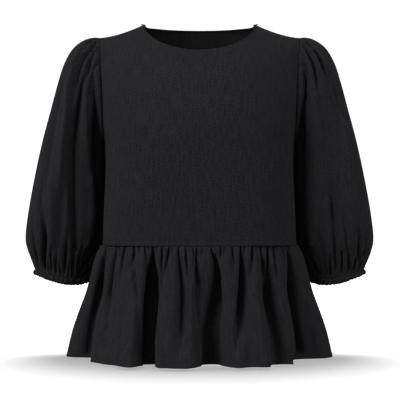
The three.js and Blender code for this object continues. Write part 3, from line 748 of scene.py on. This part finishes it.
def sleeve(name, mirror, folds, seed, material):
    """A puffed sleeve. Mirror is -1 on the left and 1 on the right."""
    near = SEAM_STEPS / SLEEVE_LENGTH
    near_head = np.concatenate([near, np.arange(0.018, 0.2, 0.007)])
    near_cuff = np.concatenate([near, np.arange(0.018, 0.14, 0.006)])
    rows = dense(0, 1, 60, near_head, near_cuff)
    places = np.linspace(0, 1, 460, endpoint=False)
    points = grid(sleeve_point, places, rows)
    normal = outward(points, True)
    from_head, from_cuff = run(points, 0), run(points, 0, True)
    chance = np.random.default_rng(seed)
    lift = 1.2 * photo_folds(points, mirror, folds)
    lift = lift + head_gathers(points, chance)
    lift = lift + cuff_gathers(points, chance)
    lift = lift + back_folds(points, chance)
    lift *= np.clip(0.12 + from_head / 7, 0, 1) * np.clip(0.12 + from_cuff / 6, 0, 1)
    lift += seam_dip(from_head, 0.25, 0.5) + seam_dip(from_cuff, 0.3, 0.6)
    points = points + normal * lift[..., None]
    points[..., 2] -= OVER_CUFF * np.exp(-from_cuff / 1.5)
    points = points * [mirror, 1, 1]
    normal = outward(points, True)
    points, normal = turned_in(points, normal, 1, 0, False)
    points, normal = turned_in(points, normal, 0.2, 0, True)
    thickness = np.full(points.shape[:2], CLOTH)
    return shell(name, points, thickness, True, material)


def cuff(name, mirror, seed, material):
    """A narrow elastic casing with uneven ruches all round."""
    rows = np.unique(np.concatenate([np.linspace(0, 1, 15), [0.03, 0.97]]))
    places = np.linspace(0, 1, 360, endpoint=False)
    points = grid(lambda at, row: arm_ring(CUFF, at, row), places, rows)
    normal = outward(points, True)
    row, at = np.meshgrid(rows, places, indexing="ij")
    chance = np.random.default_rng(seed)
    lift, drop = np.zeros(points.shape[:2]), np.zeros(points.shape[:2])
    ruche_count = 54
    for i in range(ruche_count):
        turn = (i + chance.uniform(0.2, 0.8)) / ruche_count
        lean = chance.uniform(-0.006, 0.006)
        away = (at - turn - lean * (row - 0.5) + 0.5) % 1 - 0.5
        deep = chance.uniform(0.9, 2.6)
        pinched = 1 - 0.2 * np.sin(np.pi * row)
        lift -= deep * bell(away, chance.uniform(0.0035, 0.006), 1.6) * pinched
        drop += 0.3 * deep * bell(away, 0.006)
    lift += 0.9 * np.sin(np.pi * np.clip(row, 0, 1))
    lift += 0.4 * np.sin(2 * np.pi * 9 * at + mirror)
    lift += 0.8 - 1.6 * np.exp(-row / 0.1)
    points = points + normal * lift[..., None]
    points[..., 2] += drop * row + hung(at, 1) + 0.2
    points = points * [mirror, 1, 1]
    normal = outward(points, True)
    points, normal = turned_in(points, normal, 0.8, 0, False)
    thickness = np.full(points.shape[:2], CASING)
    return shell(name, points, thickness, True, material)


def back_gathers(points, seed):
    """Gathers along the back waist seam, of the same uneven kind as those in front."""
    chance = np.random.default_rng(seed)
    lift = np.zeros(points.shape[:2])
    count = 44
    for i in range(count):
        turn = -0.985 + 1.97 * (i + chance.uniform(0.15, 0.85)) / count
        reach = 0.03 + 0.3 * chance.uniform(0, 1) ** 2.2
        deep = -mix(2.5, 10, chance.uniform(0, 1) ** 1.6)
        spots = []
        for share, wide, depth in ((0.01, 1.3, 0.45), (0.3, 2.4, 1), (0.6, 4, 0.8), (1, 5, 0.2)):
            spot = peplum_point(BACK, BACK_FOLDS, np.array(turn), np.array(reach * share))
            spots.append((spot, wide if reach > 0.1 else min(wide, 2), deep * depth))
        lift += crease(points, spots)
    return lift


def peplum_panel(name, side, folds, material):
    """The front or back of the peplum, gathered into the waist and turned up at the hem."""
    length = WAIST_Z - HEM_Z
    near_waist = np.concatenate([SEAM_STEPS, np.arange(2, 22, 1.6)]) / length
    near_hem = np.concatenate([SEAM_STEPS, [6.4, 7.2, 8, 8.8, 9.8, 11]]) / length
    rows = dense(0, 1, 34, near_waist, near_hem)
    near_side = np.array([0.001, 0.003, 0.006])
    places = dense(-1, 1, 800 if side == FRONT else 640, near_side, near_side)

    def folded(places):
        points = grid(lambda at, row: peplum_point(side, folds, at, row), places, rows)
        normal = outward(points, False)
        from_waist, from_hem = run(points, 0), run(points, 0, True)
        from_side = np.minimum(run(points, 1), run(points, 1, True))
        if side == FRONT:
            gathers = [trailing(fold) for fold in WAIST_GATHERS]
            lift = 1.5 * photo_folds(points, 1, gathers, 1.7)
            lift += photo_folds(points, 1, PEPLUM_FOLDS, 1.8)
            lift += photo_folds(points, 1, DEEP_VALLEYS, 2.2)
        else:
            lift = back_gathers(points, 11)
        lift *= np.clip(from_side / 6, 0, 1) * np.clip(0.12 + from_waist / 4.5, 0, 1)
        lift += 5.5 * (1 - np.exp(-from_waist / 2)) * np.clip(1.5 - from_waist / 60, 0, 1)
        lift += seam_dip(from_waist, 0.35, 0.6) + seam_dip(from_side)
        lift -= 0.5 * bell(from_hem - 8, 0.9)
        return points + normal * lift[..., None], from_hem

    # The columns are moved so that they lie more evenly along the folded cloth
    points, _ = folded(places)
    across = run(points, 1)
    across = mix(across[len(rows) * 3 // 4], across[len(rows) // 3], 0.5)
    even = np.interp(np.linspace(0, across[-1], len(places)), across, places)
    places = mix(places, even, 0.7)
    points, from_hem = folded(places)
    thickness = mix(CLOTH, TURNED, np.clip((HEM_TURN - from_hem) / TURN_SHARP, 0, 1))
    normal = outward(points, False)
    size = len(TURN_IN)
    points, normal = turned_in(points, normal, 1, 0, False)
    points, normal = turned_in(points, normal, 1, 1, False)
    points, normal = turned_in(points, normal, 1, 1, True)
    thickness = np.pad(thickness, ((size, 0), (size, size)), mode="edge")
    return shell(name, points, thickness, False, material)


# Materials


def noise(nodes, links, place, scale, stretch, detail):
    """A noise texture over the cloth's own lengths, stretched along the warp."""
    mapping = nodes.new("ShaderNodeMapping")
    mapping.inputs["Scale"].default_value = (scale, scale / stretch, scale)
    texture = nodes.new("ShaderNodeTexNoise")
    texture.inputs["Scale"].default_value = 1
    texture.inputs["Detail"].default_value = detail
    links.new(place, mapping.inputs["Vector"])
    links.new(mapping.outputs["Vector"], texture.inputs["Vector"])
    return texture.outputs["Fac"]


def crepe(name, tone):
    """Matt black crepe: a fine grain with slubs along the warp."""
    material = bpy.data.materials.new(name)
    material.use_nodes = True
    nodes, links = material.node_tree.nodes, material.node_tree.links
    shader = nodes["Principled BSDF"]
    shader.inputs["Roughness"].default_value = 0.95
    shader.inputs["Specular IOR Level"].default_value = 0.08
    shader.inputs["Sheen Weight"].default_value = 0.012
    shader.inputs["Sheen Roughness"].default_value = 0.5
    uv = nodes.new("ShaderNodeUVMap")
    uv.uv_map = "cloth"
    grain = noise(nodes, links, uv.outputs["UV"], 460, 1.15, 4)
    slub = noise(nodes, links, uv.outputs["UV"], 260, 7, 3)
    both = nodes.new("ShaderNodeMath")
    both.operation = "MULTIPLY_ADD"
    both.inputs[1].default_value = 0.42
    links.new(slub, both.inputs[0])
    links.new(grain, both.inputs[2])
    ramp = nodes.new("ShaderNodeMapRange")
    ramp.inputs["From Min"].default_value = 0.42
    ramp.inputs["From Max"].default_value = 1.0
    ramp.inputs["To Min"].default_value = 0.15
    ramp.inputs["To Max"].default_value = 1.85
    links.new(both.outputs[0], ramp.inputs["Value"])
    tint = nodes.new("ShaderNodeVectorMath")
    tint.operation = "SCALE"
    tint.inputs[0].default_value = tone
    links.new(ramp.outputs["Result"], tint.inputs["Scale"])
    links.new(tint.outputs["Vector"], shader.inputs["Base Color"])
    bump = nodes.new("ShaderNodeBump")
    bump.inputs["Strength"].default_value = 0.25
    bump.inputs["Distance"].default_value = 0.0003
    links.new(both.outputs[0], bump.inputs["Height"])
    links.new(bump.outputs["Normal"], shader.inputs["Normal"])
    return material


def white(name, painted_shade_glow):
    """White paper that glows the more, the further it is from the garment: the glow is painted light that
    keeps it white, and the weaker glow near the garment is painted shade round the garment's real shadow.
    """
    material = bpy.data.materials.new(name)
    material.use_nodes = True
    nodes, links = material.node_tree.nodes, material.node_tree.links
    shader = nodes["Principled BSDF"]
    shader.inputs["Base Color"].default_value = (0.8, 0.8, 0.8, 1)
    shader.inputs["Roughness"].default_value = 0.9
    shader.inputs["Specular IOR Level"].default_value = 0.1
    shader.inputs["Emission Color"].default_value = (1, 1, 1, 1)
    place = nodes.new("ShaderNodeTexCoord")
    away = nodes.new("ShaderNodeVectorMath")
    away.operation = "LENGTH"
    # Painted shade: the glow is weakest near the garment and rises to full from 0.72 to 1 m from the
    # origin.
    ramp = nodes.new("ShaderNodeMapRange")
    ramp.inputs["From Min"].default_value = 0.72
    ramp.inputs["From Max"].default_value = 1.0
    ramp.inputs["To Min"].default_value = painted_shade_glow
    ramp.inputs["To Max"].default_value = 1.0
    links.new(place.outputs["Object"], away.inputs[0])
    links.new(away.outputs["Value"], ramp.inputs["Value"])
    links.new(ramp.outputs["Result"], shader.inputs["Emission Strength"])
    return material


# Studio


def studio():
    """A white bowl: a level floor that curves up into a wall all round."""
    across, bend, top = 5.0, 1.2, 4.5
    turn = np.linspace(0, np.pi / 2, 17)
    profile = [(0.6, 0.0), (2.5, 0.0)]
    profile += [(across + bend * np.sin(t), bend * (1 - np.cos(t))) for t in turn]
    profile.append((across + bend, top))
    sides = 96
    vertices = [(0, 0, FLOOR_Z)]
    for away, up in profile:
        for angle in np.linspace(0, 2 * np.pi, sides, endpoint=False):
            vertices.append((away * np.cos(angle), away * np.sin(angle), FLOOR_Z + up))
    faces = [(0, 1 + i, 1 + (i + 1) % sides) for i in range(sides)]
    for ring in range(len(profile) - 1):
        first, second = 1 + ring * sides, 1 + (ring + 1) * sides
        for i in range(sides):
            after = (i + 1) % sides
            faces.append((first + i, second + i, second + after, first + after))
    mesh = bpy.data.meshes.new("sweep")
    mesh.from_pydata(vertices, [], faces)
    mesh.shade_smooth()
    # The glowing backdrop is painted light, dimmed to painted shade near the garment.
    mesh.materials.append(white("sweep_painted_light_and_shade", painted_shade_glow=0.39))
    sweep = bpy.data.objects.new("sweep", mesh)
    sweep.visible_diffuse = False
    sweep.visible_glossy = False
    bpy.context.collection.objects.link(sweep)
    return sweep


def soft_light(name, place, target, size, power, falls_on):
    """A soft light that falls on one collection only."""
    data = bpy.data.lights.new(name, "AREA")
    data.shape = "RECTANGLE"
    data.size, data.size_y = size
    data.energy = power
    lamp = bpy.data.objects.new(name, data)
    lamp.location = place
    lamp.rotation_euler = (Vector(target) - Vector(place)).to_track_quat("-Z", "Y").to_euler()
    lamp.light_linking.receiver_collection = falls_on
    bpy.context.collection.objects.link(lamp)


def camera():
    """The camera of the photograph, level and straight in front."""
    data = bpy.data.cameras.new("camera")
    data.sensor_width = 36
    data.lens = 100
    view = bpy.data.objects.new("camera", data)
    view.location = (0.0009, -VIEW_DISTANCE * MM, VIEW_HEIGHT * MM)
    view.rotation_euler = (np.pi / 2, 0, 0)
    bpy.context.collection.objects.link(view)
    bpy.context.scene.camera = view


def group(name, pieces):
    """A collection of pieces that a light falls on."""
    collection = bpy.data.collections.new(name)
    for piece in pieces:
        collection.objects.link(piece)
    return collection


def lights(pieces, sweep):
    """The faint light all round, three lights on the garment and one on the floor."""
    world = bpy.data.worlds.new("world")
    world.use_nodes = True
    background = world.node_tree.nodes["Background"]
    background.inputs["Color"].default_value = (1, 1, 1, 1)
    background.inputs["Strength"].default_value = 0.16
    bpy.context.scene.world = world
    garment, backdrop = group("garment", pieces), group("backdrop", [sweep])
    soft_light("key", (-2.5, -1.8, 1.1), (0, 0, -0.3), (1.7, 1.9), 150, garment)
    soft_light("fill", (2.5, -1.5, 0.8), (0, 0, -0.35), (1.5, 1.9), 70, garment)
    soft_light("front", (-0.3, -3.2, 1.6), (0, 0, -0.35), (1.6, 1.0), 22, garment)
    soft_light("ceiling", (0, 0.8, 2.2), (0, -0.3, FLOOR_Z), (2.2, 1.2), 105, backdrop)


def main():
    """The eight pieces of cloth, each attached to the root in place of its hidden node of the frame, then
    the studio.
    """
    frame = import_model()
    print("nodes in the frame:", len(frame["nodes"]))
    cloth = crepe("crepe_cloth", (0.0105, 0.0098, 0.0112))
    casing = crepe("elastic_casing", (0.0098, 0.0092, 0.0105))
    bodice_front = bodice_panel("bodice_front_cloth", FRONT, cloth)
    bodice_back = bodice_panel("bodice_back_cloth", BACK, cloth)
    sleeve_left = sleeve("sleeve_left_cloth", -1, LEFT_SLEEVE_FOLDS, 3, cloth)
    sleeve_right = sleeve("sleeve_right_cloth", 1, RIGHT_SLEEVE_FOLDS, 4, cloth)
    cuff_left = cuff("cuff_left_cloth", -1, 5, casing)
    cuff_right = cuff("cuff_right_cloth", 1, 6, casing)
    peplum_front = peplum_panel("peplum_front_cloth", FRONT, FRONT_FOLDS, cloth)
    peplum_back = peplum_panel("peplum_back_cloth", BACK, BACK_FOLDS, cloth)

    cuts = [
        (bodice_front, (0.48, 0.40), 0.163, "hung", []),
        (bodice_back, (0.48, 0.42), 0.170, "hung", [bodice_front]),
        (sleeve_left, (0.52, 0.47), 0.20, "gathered", [bodice_front, bodice_back]),
        (sleeve_right, (0.52, 0.47), 0.20, "gathered", [bodice_front, bodice_back]),
        (cuff_left, (0.50, 0.012), None, "gathered", [sleeve_left]),
        (cuff_right, (0.50, 0.012), None, "gathered", [sleeve_right]),
        (peplum_front, (0.80, 0.21), None, "gathered", [bodice_front]),
        (peplum_back, (0.80, 0.21), None, "gathered", [bodice_back]),
    ]
    for piece, flat, area, held, rests_on in cuts:
        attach(piece, "root")
        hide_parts(piece.name.removesuffix("_cloth"))

    lights([piece for piece, *_ in cuts], studio())
    camera()
    bpy.context.scene.view_settings.view_transform = "Standard"


main()
